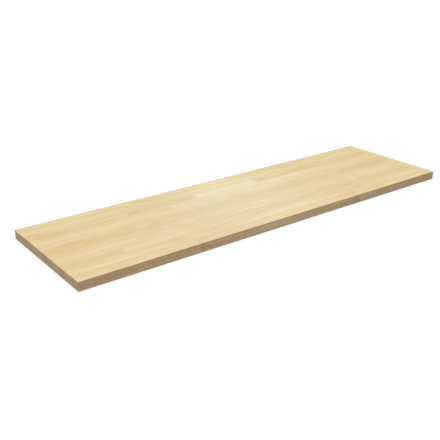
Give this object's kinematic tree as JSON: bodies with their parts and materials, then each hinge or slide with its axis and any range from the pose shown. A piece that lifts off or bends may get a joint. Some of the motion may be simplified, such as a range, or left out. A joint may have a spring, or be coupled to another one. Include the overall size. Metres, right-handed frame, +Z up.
{
  "type": "butcher block countertop",
  "caption": "Long flat countertop slab glued up from butt-jointed pale hardwood staves, with lightly eased arrises, to lie on base cabinets as a work surface.",
  "frame": {"origin": "middle of the underside, which rests on the cabinets", "axes": "+X along the staves to the right-hand end, +Y towards the back edge, +Z up from the underside to the work surface"},
  "size_m": [2.21, 0.6348, 0.044],
  "materials": {
    "hardwood_pale": "sanded, unfinished",
    "hardwood_cream": "sanded, unfinished",
    "hardwood_tan": "sanded, unfinished"
  },
  "bodies": {
    "root": {"row_01_stave_1": "hardwood_cream", "row_01_stave_2": "hardwood_tan", "row_01_stave_3": "hardwood_cream", "row_02_stave_1": "hardwood_cream", "row_02_stave_2": "hardwood_cream", "row_02_stave_3": "hardwood_cream", "row_03_stave_1": "hardwood_tan", "row_03_stave_2": "hardwood_pale", "row_03_stave_3": "hardwood_tan", "row_04_stave_1": "hardwood_cream", "row_04_stave_2": "hardwood_pale", "row_04_stave_3": "hardwood_cream", "row_05_stave_1": "hardwood_pale", "row_05_stave_2": "hardwood_cream", "row_05_stave_3": "hardwood_cream", "row_06_stave_1": "hardwood_tan", "row_06_stave_2": "hardwood_cream", "row_06_stave_3": "hardwood_tan", "row_07_stave_1": "hardwood_cream", "row_07_stave_2": "hardwood_cream", "row_07_stave_3": "hardwood_cream", "row_08_stave_1": "hardwood_pale", "row_08_stave_2": "hardwood_cream", "row_08_stave_3": "hardwood_pale", "row_09_stave_1": "hardwood_tan", "row_09_stave_2": "hardwood_cream", "row_09_stave_3": "hardwood_cream", "row_10_stave_1": "hardwood_pale", "row_10_stave_2": "hardwood_cream", "row_10_stave_3": "hardwood_pale", "row_11_stave_1": "hardwood_pale", "row_11_stave_2": "hardwood_tan", "row_11_stave_3": "hardwood_pale"}
  },
  "joints": []
}
